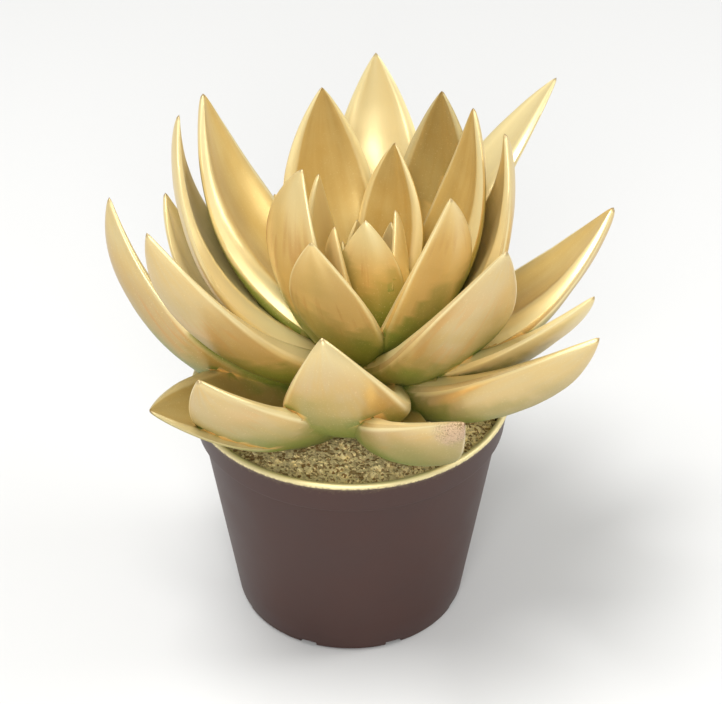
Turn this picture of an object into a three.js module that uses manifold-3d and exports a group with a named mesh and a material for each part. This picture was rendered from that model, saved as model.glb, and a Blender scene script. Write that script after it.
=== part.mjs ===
// A gold-painted echeveria in a 9 cm nursery pot, in millimetres with +Z up.
// The origin is the centre of the pot's underside, and -Y is the plant's front.
// It is three pieces: the pot, the soil that fills it, and the rosette with its stem.
import * as THREE from "three";
import { mergeVertices } from "three/addons/utils/BufferGeometryUtils.js";
import Module from "manifold-3d";

// Gap kept between pieces that touch on the real plant.
const SEAT_GAP = 0.3;
const ROUND_SEGMENTS = 48;

// Pot: a tapered plastic shell with a rim band, and a floor on a raised drainage ring.
const POT_HEIGHT = 70;
const RIM_RADIUS = 45;
const BASE_RADIUS = 32;
const WALL = 1.2;
const FLOOR = 1.6;
const RIM_BAND_HEIGHT = 10;
const RIM_BAND_STEP = 1.5;
const RIM_LIP = 2;
const RIM_ROUNDING = 0.6;
const BASE_CORNER = 1.5;
const FOOT_DISC_RADIUS = 8;
const FOOT_RING_WIDTH = 6;
const FOOT_HEIGHT = 1.8;
const DRAIN_HOLES = 8;
const DRAIN_HOLE_RADIUS = 3;
const DRAIN_CIRCLE_RADIUS = 17;
const CHANNEL_WIDTH = 5;
const CHANNEL_LENGTH = 12;
const DRAFT = 0.5;

// Soil: level a little below the rim, slightly higher round the stem.
const SOIL_BELOW_RIM = 6.5;
const SOIL_MOUND = 0.5;
const SOIL_EDGE = 0.6;

// Stem: it stands off the pot's centre, as the plant was potted.
const STEM_X = 6.5;
const STEM_Y = 1;
const STEM_RADIUS = 9;
const STEM_ROOT_Z = 46;
const STEM_TOP_Z = 88;
const STEM_TAPER = 6;
const STEM_SEGMENTS = 16;

// Leaves: each grows one golden turn from the last. They are numbered from 0, the first
// that has opened at the heart, to the oldest, at the soil; those below 0 are the bud.
const YOUNGEST = -5;
const OLDEST = 34;
const FALLEN_LEAVES = [7, 15];
const GOLDEN_TURN = 137.508;
const FIRST_AZIMUTH = 176;

// Sizes run from the heart's to the grown leaf's, which is reached at RIPE_AGE.
const HEART_LENGTH = 30;
const GROWN_LENGTH = 82;
const HEART_WIDTH = 10;
const GROWN_WIDTH = 28;
const HEART_THICKNESS = 5.5;
const GROWN_THICKNESS = 11;
const RIPE_AGE = 0.5;
const FADING_AGE = 0.6;
const FADING_LOSS = 12;

// Tilts from upright, in degrees, at the leaf's foot and at its tip, by age from 0 to 1.
const HEART_FOOT_TILT = 12;
const SPREAD_FOOT_TILT = 84;
const HEART_TIP_TILT = -3;
const SPREAD_TIP_TILT = 48;

// Where the leaf feet sit on the stem, from the heart down to the oldest leaf.
const FOOT_TOP_Z = 89;
const FOOT_DROP = 14;
const HEART_FOOT_RADIUS = 1.5;
const SPREAD_FOOT_RADIUS = 3.5;

// Blade: widest halfway, its foot narrower, its tip keen, its back keeled, and its face
// hollow between two ridges, outside which it slopes down to the margins.
const BELLY = 0.5;
const FOOT_WIDTH = 0.55;
const FOOT_ROUNDING = 1.2;
const TIP_ROUNDING = 0.88;
const FOOT_THICKNESS = 0.75;
const THICKEST = 0.35;
const FACE_CROWN = 0.36;
const RIDGE = 0.78;
const SLOPE_ROUNDING = 1.25;
const BACK_CROWN = 0.32;
const KEEL = 0.42;
const KEEL_ROUNDING = 2;
const MARGIN_ROUNDING = 0.35;
const FACE_HOLLOW = 0.2;
const BACK_HOLLOW = 0.03;

// Stations along a leaf, as shares of its length, and points round each section, which
// crowd towards the margins.
const STATIONS = [0, 0.13, 0.27, 0.42, 0.56, 0.69, 0.8, 0.89, 0.96];
const SECTION_POINTS = 10;
const MARGIN_CROWDING = 0.2;

// How single leaves differ from the rule, as they stand on this plant: a turn in degrees,
// extra length, width and swell in millimetres, a lean of the base, a curl of the tip, a
// sway aside and a roll about the leaf's own axis in degrees. What isn't here is zero.
const NO_HABIT = { turn: 0, length: 0, width: 0, swell: 0, lean: 0, curl: 0, sway: 0, roll: 0 };
const HABIT = {
  0: { turn: 2, lean: 8, curl: 10 },
  2: { length: 2, width: 6, lean: -4, curl: -4, sway: -4 },
  3: { length: -9, width: -4 },
  4: { length: -5, width: -2, lean: -10, curl: -4 },
  5: { length: -10, width: -4 },
  6: { width: 2, lean: -1, curl: 2, roll: 16 },
  8: { length: -10, width: -4, curl: -6 },
  9: { turn: 2, length: 8, width: 5, swell: 2, lean: 3, sway: 3, roll: 1 },
  10: { turn: 4, length: -2, lean: 2, curl: 20 },
  11: { turn: 13, length: 2, width: 3, lean: 6, curl: -4 },
  12: { turn: -14, length: -3, lean: -8, curl: 8, sway: -4 },
  13: { turn: 14, length: -8, width: 4, lean: -4, curl: -16, roll: -10 },
  14: { turn: 2, length: -2, lean: -2, curl: -8 },
  16: { turn: 10, length: 6, width: 6, swell: 3, lean: 13, curl: 9, sway: -3, roll: -15 },
  17: { turn: -2, length: 1, width: 3, lean: -7, curl: -10, sway: 1, roll: -6 },
  18: { turn: -10, length: 6, lean: 16, curl: 10, sway: -12, roll: -25 },
  19: { turn: 4, length: 4, lean: -2, curl: 2, sway: 2, roll: 3 },
  20: { turn: -2, width: 1, lean: -7, curl: 9, sway: 7, roll: 9 },
  21: { length: 11, width: 4, lean: 10, curl: -12, sway: -11, roll: -14 },
  22: { turn: 11, length: 11, width: -3, lean: -40, curl: 54, sway: 3, roll: 23 },
  23: { turn: 7, length: -8, width: 5, swell: 3, lean: 21, curl: -11, sway: -8, roll: -9 },
  24: { length: -16, lean: 15, curl: 44 },
  25: { turn: -6, length: -2, lean: -4, curl: 18, sway: -4, roll: 20 },
  26: { turn: 13, length: -7, width: 6, lean: 17, curl: 38, sway: 5, roll: 10 },
  27: { length: -8, lean: 8, curl: 30 },
  28: { turn: -12, length: -1, width: -1, swell: 3, lean: 11, curl: 9, sway: 26, roll: 24 },
  29: { turn: 10, width: -3, lean: 12, curl: -16, sway: -2, roll: -6 },
  30: { turn: -1, width: 5, swell: 5, lean: -11, curl: 2, sway: 2, roll: 12 },
  31: { turn: -2, length: 2, width: 4, swell: 3, lean: 9, curl: -9, sway: -3, roll: -28 },
  32: { curl: 20 },
  33: { turn: -3, length: -2, width: -2, swell: 2, lean: -9, curl: -7, sway: 23, roll: 35 },
  34: { turn: 6, length: 18, width: -2, swell: 1, lean: 4, curl: -43, sway: -19, roll: -33 },
};

const FINISHES = {
  pot: new THREE.MeshStandardMaterial({ color: 0x6b3a28, roughness: 0.55, metalness: 0 }),
  soil: new THREE.MeshStandardMaterial({ color: 0x8a7045, roughness: 0.9, metalness: 0 }),
  rosette: new THREE.MeshStandardMaterial({ color: 0xcfa75c, roughness: 0.38, metalness: 0.55 }),
};

const wasm = await Module();
wasm.setup();

const radians = (degrees) => (degrees * Math.PI) / 180;

// A closed geometry as a solid that can be joined and cut.
function solidOf(geometry) {
  const bare = geometry.clone();
  bare.deleteAttribute("normal");
  bare.deleteAttribute("uv");
  const merged = mergeVertices(bare, 1e-3);
  return new wasm.Manifold(
    new wasm.Mesh({
      numProp: 3,
      vertProperties: merged.attributes.position.array,
      triVerts: new Uint32Array(merged.index.array),
    }),
  );
}

function geometryOf(solid) {
  const mesh = solid.getMesh();
  const geometry = new THREE.BufferGeometry();
  geometry.setAttribute("position", new THREE.BufferAttribute(mesh.vertProperties, 3));
  geometry.setIndex(new THREE.BufferAttribute(mesh.triVerts, 1));
  geometry.computeVertexNormals();
  return geometry;
}

// A solid turned round the Z axis from [radius, z] points, from the axis and back to it.
function turned(points, segments = ROUND_SEGMENTS) {
  const profile = points.map(([radius, z]) => new THREE.Vector2(radius, z));
  return new THREE.LatheGeometry(profile, segments).rotateX(Math.PI / 2);
}

// The wall's outer radius at a height, on the pot's straight taper.
function outerRadius(z) {
  const top = RIM_RADIUS - RIM_BAND_STEP;
  return BASE_RADIUS + ((top - BASE_RADIUS) * z) / POT_HEIGHT;
}

function potGeometry() {
  const bandFoot = POT_HEIGHT - RIM_BAND_HEIGHT;
  const bandRadius = outerRadius(bandFoot) + RIM_BAND_STEP;
  const floorTop = FOOT_HEIGHT + FLOOR;
  const ringInner = BASE_RADIUS - FOOT_RING_WIDTH;
  const shell = solidOf(
    turned([
      [0, 0],
      [FOOT_DISC_RADIUS, 0],
      [FOOT_DISC_RADIUS + DRAFT, FOOT_HEIGHT],
      [ringInner - DRAFT, FOOT_HEIGHT],
      [ringInner, 0],
      [BASE_RADIUS - BASE_CORNER, 0],
      [outerRadius(BASE_CORNER), BASE_CORNER],
      [outerRadius(bandFoot - 1), bandFoot - 1],
      [bandRadius, bandFoot],
      [RIM_RADIUS - RIM_ROUNDING, POT_HEIGHT - RIM_LIP],
      [RIM_RADIUS, POT_HEIGHT - 2 * RIM_ROUNDING],
      [RIM_RADIUS - RIM_ROUNDING / 2, POT_HEIGHT - RIM_ROUNDING / 2],
      [RIM_RADIUS - RIM_LIP / 2, POT_HEIGHT],
      [RIM_RADIUS - RIM_LIP, POT_HEIGHT - RIM_ROUNDING],
      [bandRadius - WALL, bandFoot + 1],
      [outerRadius(bandFoot - 1) - WALL, bandFoot - 1],
      [outerRadius(floorTop) - WALL, floorTop],
      [0, floorTop],
    ]),
  );
  const cutters = [];
  for (let i = 0; i < DRAIN_HOLES; i++) {
    const angle = (2 * Math.PI * (i + 0.5)) / DRAIN_HOLES;
    const hole = new THREE.CylinderGeometry(DRAIN_HOLE_RADIUS, DRAIN_HOLE_RADIUS, 4 * FLOOR, 16);
    hole.rotateX(Math.PI / 2);
    hole.translate(
      DRAIN_CIRCLE_RADIUS * Math.cos(angle),
      DRAIN_CIRCLE_RADIUS * Math.sin(angle),
      floorTop - FLOOR / 2,
    );
    cutters.push(hole);
    const channel = new THREE.BoxGeometry(CHANNEL_LENGTH, CHANNEL_WIDTH, 2 * FOOT_HEIGHT);
    channel.translate(ringInner + FOOT_RING_WIDTH / 2, 0, 0);
    channel.rotateZ(angle);
    cutters.push(channel);
  }
  return geometryOf(cutters.reduce((left, cutter) => left.subtract(solidOf(cutter)), shell));
}

function soilGeometry() {
  const floor = FOOT_HEIGHT + FLOOR + SEAT_GAP;
  const level = POT_HEIGHT - SOIL_BELOW_RIM;
  const bandFoot = POT_HEIGHT - RIM_BAND_HEIGHT;
  const inside = (z) => outerRadius(z) - WALL - SEAT_GAP;
  const plug = solidOf(
    turned([
      [0, floor],
      [inside(floor) - SOIL_EDGE, floor],
      [inside(floor + SOIL_EDGE), floor + SOIL_EDGE],
      [inside(bandFoot), bandFoot],
      [inside(level), level - SOIL_EDGE],
      [inside(level) - SOIL_EDGE, level],
      [2 * STEM_RADIUS, level + SOIL_MOUND],
      [0, level + SOIL_MOUND],
    ]),
  );
  const hole = stemGeometry(SEAT_GAP);
  return geometryOf(plug.subtract(solidOf(hole)));
}

// The stem, or with a margin the space it needs in the soil, open at the top.
function stemGeometry(margin = 0) {
  const root = STEM_ROOT_Z - margin;
  const stem = turned(
    [
      [0, root],
      [0.6 * STEM_RADIUS + margin, root],
      [0.9 * STEM_RADIUS + margin, root + STEM_TAPER],
      [STEM_RADIUS + margin, POT_HEIGHT - SOIL_BELOW_RIM],
      [STEM_RADIUS + margin, POT_HEIGHT],
      [0.6 * STEM_RADIUS + margin, STEM_TOP_Z - STEM_TAPER],
      [0.3 * STEM_RADIUS + margin, STEM_TOP_Z],
      [0, STEM_TOP_Z],
    ],
    STEM_SEGMENTS,
  );
  return stem.translate(STEM_X, STEM_Y, 0);
}

const mix = (from, to, share) => from + (to - from) * share;

// The size and pose of one leaf by the rule, with its own habit added.
function grownLeaf(number) {
  const growth = number / OLDEST;
  const age = Math.max(0, growth);
  const ripe = Math.sin((Math.PI / 2) * Math.min(1, growth / RIPE_AGE));
  const fading = FADING_LOSS * Math.max(0, age - FADING_AGE);
  const plump = Math.min(1, growth / RIPE_AGE);
  const own = { ...NO_HABIT, ...HABIT[number] };
  return {
    azimuth: radians(FIRST_AZIMUTH - GOLDEN_TURN * number + own.turn),
    length: mix(HEART_LENGTH, GROWN_LENGTH, ripe) - fading + own.length,
    width: mix(HEART_WIDTH, GROWN_WIDTH, ripe) + own.width,
    thickness: mix(HEART_THICKNESS, GROWN_THICKNESS, plump) + own.swell,
    footTilt: radians(HEART_FOOT_TILT + SPREAD_FOOT_TILT * age ** 0.8 + own.lean),
    tipTilt: radians(HEART_TIP_TILT + SPREAD_TIP_TILT * age ** 3 + own.curl),
    footRadius: HEART_FOOT_RADIUS + SPREAD_FOOT_RADIUS * age,
    footHeight: FOOT_TOP_Z - FOOT_DROP * age ** 0.7,
    sway: radians(own.sway),
    roll: radians(own.roll),
  };
}

// Half the blade's width at a share of its length.
function halfWidth(leaf, share) {
  if (share < BELLY) {
    const rise = Math.sin(((Math.PI / 2) * share) / BELLY) ** FOOT_ROUNDING;
    return (leaf.width / 2) * mix(FOOT_WIDTH, 1, rise);
  }
  const past = (share - BELLY) / (1 - BELLY);
  return (leaf.width / 2) * Math.cos((Math.PI / 2) * past) ** TIP_ROUNDING;
}

function bladeThickness(leaf, share) {
  const swell = Math.sin((Math.PI / 2) * Math.min(2, share / THICKEST));
  return leaf.thickness * mix(FOOT_THICKNESS, 1, swell) * Math.sqrt(1 - share);
}

// The leaf's middle line is an arc whose tilt from upright runs evenly from foot to tip.
function midPoint(leaf, share) {
  const bend = leaf.tipTilt - leaf.footTilt;
  const tilt = leaf.footTilt + bend * share;
  const out = leaf.footRadius + (leaf.length * (Math.cos(leaf.footTilt) - Math.cos(tilt))) / bend;
  const up = leaf.footHeight + (leaf.length * (Math.sin(tilt) - Math.sin(leaf.footTilt))) / bend;
  const aside = (leaf.sway * leaf.length * share ** 2) / 2;
  return new THREE.Vector3(out, aside, up)
    .applyAxisAngle(new THREE.Vector3(0, 0, 1), leaf.azimuth)
    .add(new THREE.Vector3(STEM_X, STEM_Y, 0));
}

// The blade's own axes at a share of its length: across it, and out of its upper face.
function bladeAxes(leaf, share) {
  const tilt = mix(leaf.footTilt, leaf.tipTilt, share);
  const upright = new THREE.Vector3(0, 0, 1);
  const along = new THREE.Vector3(Math.sin(tilt), leaf.sway * share, Math.cos(tilt));
  along.applyAxisAngle(upright, leaf.azimuth).normalize();
  const face = new THREE.Vector3(-Math.cos(tilt), 0, Math.sin(tilt));
  face.applyAxisAngle(upright, leaf.azimuth);
  const across = along.clone().cross(face).normalize();
  const out = across.clone().cross(along);
  across.applyAxisAngle(along, -leaf.roll);
  out.applyAxisAngle(along, -leaf.roll);
  return { across, out };
}

// How far a section's skin stands out of the blade's middle plane. u is -1 and 1 at the
// margins and 0 on the middle line, and side is 1 on the face, -1 on the back.
function skinHeight(leaf, share, u, side) {
  const thickness = bladeThickness(leaf, share);
  const half = halfWidth(leaf, share);
  if (side > 0) {
    const slope = Math.max(0, (Math.abs(u) - RIDGE) / (1 - RIDGE)) ** SLOPE_ROUNDING;
    const hollow = half * Math.max(0, 1 - (u / RIDGE) ** 2);
    return thickness * FACE_CROWN * (1 - slope) - FACE_HOLLOW * hollow;
  }
  const inside = Math.max(0, 1 - u * u);
  const crown = inside ** (MARGIN_ROUNDING / 2);
  const keel = KEEL * (1 - Math.abs(u) ** KEEL_ROUNDING);
  return -thickness * (BACK_CROWN * crown + keel) - BACK_HOLLOW * half * inside;
}

// A point of the section at a share of the leaf's length, from one margin over the face.
function sectionPoint(leaf, share, step) {
  const even = (2 * Math.PI * step) / SECTION_POINTS;
  const angle = even - (MARGIN_CROWDING / 2) * Math.sin(2 * even);
  const onMargin = step % (SECTION_POINTS / 2) === 0;
  const u = onMargin ? Math.round(Math.cos(angle)) : Math.cos(angle);
  const side = step < SECTION_POINTS / 2 ? 1 : -1;
  const { across, out } = bladeAxes(leaf, share);
  return midPoint(leaf, share)
    .addScaledVector(across, halfWidth(leaf, share) * u)
    .addScaledVector(out, onMargin ? 0 : skinHeight(leaf, share, u, side));
}

// One leaf as a closed blade, with its foot inside the stem and its tip a point.
function leafGeometry(leaf) {
  const rings = STATIONS.length;
  const positions = [];
  for (const share of STATIONS) {
    for (let j = 0; j < SECTION_POINTS; j++) {
      const point = sectionPoint(leaf, share, j);
      positions.push(point.x, point.y, point.z);
    }
  }
  const foot = positions.length / 3;
  positions.push(...midPoint(leaf, 0).toArray(), ...midPoint(leaf, 1).toArray());
  const tip = foot + 1;
  const faces = [];
  for (let j = 0; j < SECTION_POINTS; j++) {
    const next = (j + 1) % SECTION_POINTS;
    faces.push(foot, j, next);
    for (let i = 0; i < rings - 1; i++) {
      const a = i * SECTION_POINTS + j;
      const b = i * SECTION_POINTS + next;
      faces.push(a, a + SECTION_POINTS, b, b, a + SECTION_POINTS, b + SECTION_POINTS);
    }
    const last = (rings - 1) * SECTION_POINTS;
    faces.push(last + j, tip, last + next);
  }
  const geometry = new THREE.BufferGeometry();
  geometry.setAttribute("position", new THREE.Float32BufferAttribute(positions, 3));
  geometry.setIndex(faces);
  return geometry;
}

// The stem with every leaf joined to it, from the oldest up to the heart.
// Pockets that the crowded leaf feet close off inside are left solid.
function rosetteGeometry() {
  let plant = solidOf(stemGeometry());
  for (let number = OLDEST; number >= YOUNGEST; number--) {
    if (FALLEN_LEAVES.includes(number)) continue;
    plant = plant.add(solidOf(leafGeometry(grownLeaf(number))));
  }
  const skins = plant.decompose();
  skins.sort((one, other) => other.volume() - one.volume());
  return geometryOf(skins[0]);
}

function piece(name, geometry) {
  const mesh = new THREE.Mesh(geometry, FINISHES[name]);
  mesh.name = name;
  return mesh;
}

const plant = new THREE.Group();
plant.add(piece("pot", potGeometry()));
plant.add(piece("soil", soilGeometry()));
plant.add(piece("rosette", rosetteGeometry()));

export default plant;
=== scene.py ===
"""A gold-sprayed echeveria in its nursery pot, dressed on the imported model.

Lengths among the named values are millimetres and angles are degrees. Meshes are built in
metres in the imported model's frame: +Z is up, and -Y is the front of the plant.
"""

import math

import bpy
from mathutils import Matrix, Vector


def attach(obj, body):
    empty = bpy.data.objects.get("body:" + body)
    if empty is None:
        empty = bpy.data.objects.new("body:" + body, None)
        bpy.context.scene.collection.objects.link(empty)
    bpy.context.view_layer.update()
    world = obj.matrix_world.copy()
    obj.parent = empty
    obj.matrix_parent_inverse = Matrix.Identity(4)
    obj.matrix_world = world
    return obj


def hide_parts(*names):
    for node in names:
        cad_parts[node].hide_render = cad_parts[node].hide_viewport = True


MM = 0.001

# The plant: where its stem stands, and the sizes of its leaves from the heart to full growth.
STEM_X = 6.5
STEM_Y = 1
STEM_RADIUS = 9
STEM_TAPER = 6
STEM_ROOT_Z = 46
STEM_TOP_Z = 88
STEM_SEGMENTS = 40
YOUNGEST = -5
OLDEST = 34
FALLEN_LEAVES = (7, 15)
GOLDEN_TURN = 137.508
FIRST_AZIMUTH = 176
HEART_LENGTH, GROWN_LENGTH = 30, 82
HEART_WIDTH, GROWN_WIDTH = 10, 28
HEART_THICKNESS, GROWN_THICKNESS = 5.5, 11
RIPE_AGE = 0.5
FADING_AGE = 0.6
FADING_LOSS = 12
HEART_FOOT_TILT, SPREAD_FOOT_TILT = 12, 84
FOOT_TILT_EASE = 0.8
HEART_TIP_TILT, SPREAD_TIP_TILT = -3, 48
TIP_TILT_EASE = 3
FOOT_TOP_Z = 89
FOOT_DROP = 14
FOOT_DROP_EASE = 0.7
HEART_FOOT_RADIUS, SPREAD_FOOT_RADIUS = 1.5, 3.5

# A blade: widest at its belly, with a narrower foot, a keen tip, a keeled back and blunt
# margins, and a face that is hollow between two ridges and slopes down outside them.
BELLY = 0.5
FOOT_WIDTH = 0.55
FOOT_ROUNDING = 1.2
TIP_ROUNDING = 0.88
FOOT_THICKNESS = 0.75
THICKEST = 0.35
FACE_CROWN = 0.36
RIDGE = 0.78
SLOPE_ROUNDING = 1.25
BACK_CROWN = 0.32
KEEL = 0.42
KEEL_ROUNDING = 2
MARGIN_ROUNDING = 0.35
FACE_HOLLOW = 0.2
BACK_HOLLOW = 0.03
ROWS_ALONG = 44
POINTS_ROUND = 33
TIP_CROWDING = 1.25
MARGIN_CROWDING = 0.5
SAME_POINT = 0.002
SHARP_EDGE = 50
RIPPLE = 0.35
RIPPLE_SIZE = 16

# How single leaves differ from the rule: a turn, a lean of the foot, a curl of the tip, a
# sway aside and a roll in degrees, and more length, width and swell in millimetres.
HABIT = {
    0: dict(turn=2, lean=8, curl=10),
    2: dict(length=2, width=6, lean=-4, curl=-4, sway=-4),
    3: dict(length=-9, width=-4),
    4: dict(length=-5, width=-2, lean=-10, curl=-4),
    5: dict(length=-10, width=-4),
    6: dict(width=2, lean=-1, curl=2, roll=16),
    8: dict(length=-10, width=-4, curl=-6),
    9: dict(turn=2, length=8, width=5, swell=2, lean=3, sway=3, roll=1),
    10: dict(turn=4, length=-2, lean=2, curl=20),
    11: dict(turn=13, length=2, width=3, lean=6, curl=-4),
    12: dict(turn=-14, length=-3, lean=-8, curl=8, sway=-4),
    13: dict(turn=14, length=-8, width=4, lean=-4, curl=-16, roll=-10),
    14: dict(turn=2, length=-2, lean=-2, curl=-8),
    16: dict(turn=10, length=6, width=6, swell=3, lean=13, curl=9, sway=-3, roll=-15),
    17: dict(turn=-2, length=1, width=3, lean=-7, curl=-10, sway=1, roll=-6),
    18: dict(turn=-10, length=6, lean=16, curl=10, sway=-12, roll=-25),
    19: dict(turn=4, length=4, lean=-2, curl=2, sway=2, roll=3),
    20: dict(turn=-2, width=1, lean=-7, curl=9, sway=7, roll=9),
    21: dict(length=11, width=4, lean=10, curl=-12, sway=-11, roll=-14),
    22: dict(turn=11, length=11, width=-3, lean=-40, curl=54, sway=3, roll=23),
    23: dict(turn=7, length=-8, width=5, swell=3, lean=21, curl=-11, sway=-8, roll=-9),
    24: dict(length=-16, lean=15, curl=44),
    25: dict(turn=-6, length=-2, lean=-4, curl=18, sway=-4, roll=20),
    26: dict(turn=13, length=-7, width=6, lean=17, curl=38, sway=5, roll=10),
    27: dict(length=-8, lean=8, curl=30),
    28: dict(turn=-12, length=-1, width=-1, swell=3, lean=11, curl=9, sway=26, roll=24),
    29: dict(turn=10, width=-3, lean=12, curl=-16, sway=-2, roll=-6),
    30: dict(turn=-1, width=5, swell=5, lean=-11, curl=2, sway=2, roll=12),
    31: dict(turn=-2, length=2, width=4, swell=3, lean=9, curl=-9, sway=-3, roll=-28),
    32: dict(curl=20),
    33: dict(turn=-3, length=-2, width=-2, swell=2, lean=-9, curl=-7, sway=23, roll=35),
    34: dict(turn=6, length=18, width=-2, swell=1, lean=4, curl=-43, sway=-19, roll=-33),
}

# Leaves made paler (above 0) or duller (below 0) than their place tells: partly by more or
# less spray, and partly as painted light on leaves that lie in shade and as painted shade on
# leaves 14 and 26, where shade falls on them.
COAT_AND_PAINTED_LIGHT = {
    1: 1,
    2: -0.15,
    4: 0.9,
    5: 0.8,
    6: -0.1,
    8: 0.9,
    9: -0.1,
    10: 0.3,
    11: 0.15,
    12: 0.2,
    13: -0.1,
    14: -0.5,
    16: -0.05,
    17: 0.3,
    18: 0.3,
    19: 1.15,
    20: 0.3,
    21: 0.7,
    22: 0.9,
    25: 0.8,
    26: -0.45,
    29: 0.9,
    31: 0.2,
    33: 0.4,
    34: -0.1,
}

# The spray came from a dome of directions, and reaches what no leaf covers.
SPRAY_DIRECTIONS = 28
SPRAY_LOWEST, SPRAY_HIGHEST = 6, 80
SPRAY_START = 0.5
SPRAY_LENGTH = 200
SPRAY_STRENGTH = 4

# The pot.
POT_HEIGHT = 70
RIM_RADIUS = 45
BASE_RADIUS = 32
WALL = 1.2
FLOOR = 1.6
RIM_BAND_HEIGHT = 10
RIM_BAND_STEP = 1.5
RIM_LIP = 2
BASE_CORNER = 1.5
FOOT_DISC_RADIUS = 8
FOOT_RING_WIDTH = 6
FOOT_HEIGHT = 1.8
DRAIN_HOLES = 8
DRAIN_HOLE_RADIUS = 3
DRAIN_CIRCLE_RADIUS = 17
DRAIN_SEGMENTS = 32
CHANNEL_WIDTH = 5
CHANNEL_LENGTH = 12
DRAFT = 0.5
FOOT_EDGE = 0.3
BAND_FILLET = 0.9
BAND_EDGE = 0.5
WALL_STEPS = 8
POT_SEGMENTS = 160
POT_SHARP_EDGE = 40

# The soil and its crumbs. Points at most so far below the plug's top are lifted, and faces
# at most so far below it bear crumbs.
SOIL_BELOW_RIM = 6.5
SOIL_MOUND = 0.5
SOIL_ROUGHNESS = 0.9
SOIL_LUMPS_PER_METRE = 210
SOIL_RINGS = 46
SOIL_SEGMENTS = 120
SEAT_GAP = 0.3
LIFTED_DEPTH = 0.3
CRUMBED_DEPTH = 1.2
CRUMB_DENSITY = 0.34
CRUMB_SMALLEST, CRUMB_LARGEST = 0.35, 1.25
CRUMB_SHAPES = 5
CRUMB_VARIETY = 3.1
CRUMB_DENTS = 0.9
CRUMB_DENT_DEPTH = 1.5
CRUMB_SQUASH = (1, 0.8, 0.7)
CRUMB_TURN_IN_RADIANS = 6.28
SOIL_SEED = 11

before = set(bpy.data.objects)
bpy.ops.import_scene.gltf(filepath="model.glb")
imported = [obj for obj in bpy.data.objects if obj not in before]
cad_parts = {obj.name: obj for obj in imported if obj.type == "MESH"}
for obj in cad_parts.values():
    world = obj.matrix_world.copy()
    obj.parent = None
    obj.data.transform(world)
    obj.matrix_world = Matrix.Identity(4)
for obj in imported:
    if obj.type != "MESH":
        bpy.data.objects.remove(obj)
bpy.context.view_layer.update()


class Wire:
    """An output in a node tree, so that a formula can be written as one."""

    def __init__(self, tree, socket):
        self.tree = tree
        self.socket = socket

    def math(self, operation, *others):
        return math_node(self.tree, operation, self, *others)

    def __add__(self, other):
        return self.math("ADD", other)

    def __sub__(self, other):
        return self.math("SUBTRACT", other)

    def __mul__(self, other):
        return self.math("MULTIPLY", other)

    def __truediv__(self, other):
        return self.math("DIVIDE", other)

    def __pow__(self, other):
        return self.math("POWER", other)

    def __radd__(self, other):
        return self.math("ADD", other)

    def __rmul__(self, other):
        return self.math("MULTIPLY", other)

    def __rsub__(self, other):
        return math_node(self.tree, "SUBTRACT", other, self)

    def __rtruediv__(self, other):
        return math_node(self.tree, "DIVIDE", other, self)

    def __neg__(self):
        return self.math("MULTIPLY", -1)

    def clamp(self, low, high):
        return self.math("MAXIMUM", low).math("MINIMUM", high)


def feed(socket, value):
    """Gives an input a wire, or a plain number, vector or other setting."""
    if isinstance(value, Wire):
        value.tree.links.new(value.socket, socket)
    else:
        socket.default_value = value


def node(tree, kind, settings=None, **inputs):
    """A new node with its settings, and its inputs fed by name."""
    made = tree.nodes.new(kind)
    for name, value in (settings or {}).items():
        setattr(made, name, value)
    for name, value in inputs.items():
        feed(made.inputs[name.replace("_", " ")], value)
    return made


def math_node(tree, operation, *values):
    made = node(tree, "ShaderNodeMath", dict(operation=operation))
    for place, value in enumerate(values):
        feed(made.inputs[place], value)
    return Wire(tree, made.outputs[0])


def vector_node(tree, operation, *values, output="Vector"):
    made = node(tree, "ShaderNodeVectorMath", dict(operation=operation))
    for place, value in enumerate(values):
        if operation == "SCALE" and place == 1:
            feed(made.inputs["Scale"], value)
        else:
            feed(made.inputs[place], value)
    return Wire(tree, made.outputs[output])


def vector_of(tree, x, y, z):
    made = node(tree, "ShaderNodeCombineXYZ", X=x, Y=y, Z=z)
    return Wire(tree, made.outputs[0])


def separated(tree, vector):
    """The x, y and z of a vector."""
    made = node(tree, "ShaderNodeSeparateXYZ")
    feed(made.inputs[0], vector)
    return [Wire(tree, made.outputs[axis]) for axis in range(3)]


def noise(tree, vector, **inputs):
    settings = dict(noise_dimensions="4D" if "W" in inputs else "3D")
    made = node(tree, "ShaderNodeTexNoise", settings, Vector=vector, **inputs)
    return Wire(tree, made.outputs[0])


def mixed(start, end, share):
    """The value at a share of the way from start to end, for numbers and for wires."""
    return start + (end - start) * share


def modifier_tree(name, inputs):
    """A geometry tree with named inputs, and the wires that carry them."""
    tree = bpy.data.node_groups.new(name, "GeometryNodeTree")
    tree.interface.new_socket("Geometry", in_out="INPUT", socket_type="NodeSocketGeometry")
    tree.interface.new_socket("Geometry", in_out="OUTPUT", socket_type="NodeSocketGeometry")
    for label, kind in inputs.items():
        tree.interface.new_socket(label, in_out="INPUT", socket_type="NodeSocket" + kind)
    entry = tree.nodes.new("NodeGroupInput")
    wires = {label: Wire(tree, entry.outputs[label]) for label in ("Geometry", *inputs)}
    return tree, wires


def tree_result(tree, geometry, material):
    """Gives the finished geometry its material and sends it out of the tree."""
    coated = node(tree, "GeometryNodeSetMaterial", Geometry=geometry, Material=material)
    leave = tree.nodes.new("NodeGroupOutput")
    feed(leave.inputs["Geometry"], Wire(tree, coated.outputs[0]))


def field(tree, name):
    """The position or the normal of each point, in a geometry tree."""
    return Wire(tree, node(tree, "GeometryNodeInput" + name).outputs[0])


def moved(tree, geometry, **inputs):
    made = node(tree, "GeometryNodeSetPosition", Geometry=geometry, **inputs)
    return Wire(tree, made.outputs[0])


def realized(tree, instances):
    made = node(tree, "GeometryNodeRealizeInstances", Geometry=instances)
    return Wire(tree, made.outputs[0])


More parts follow.
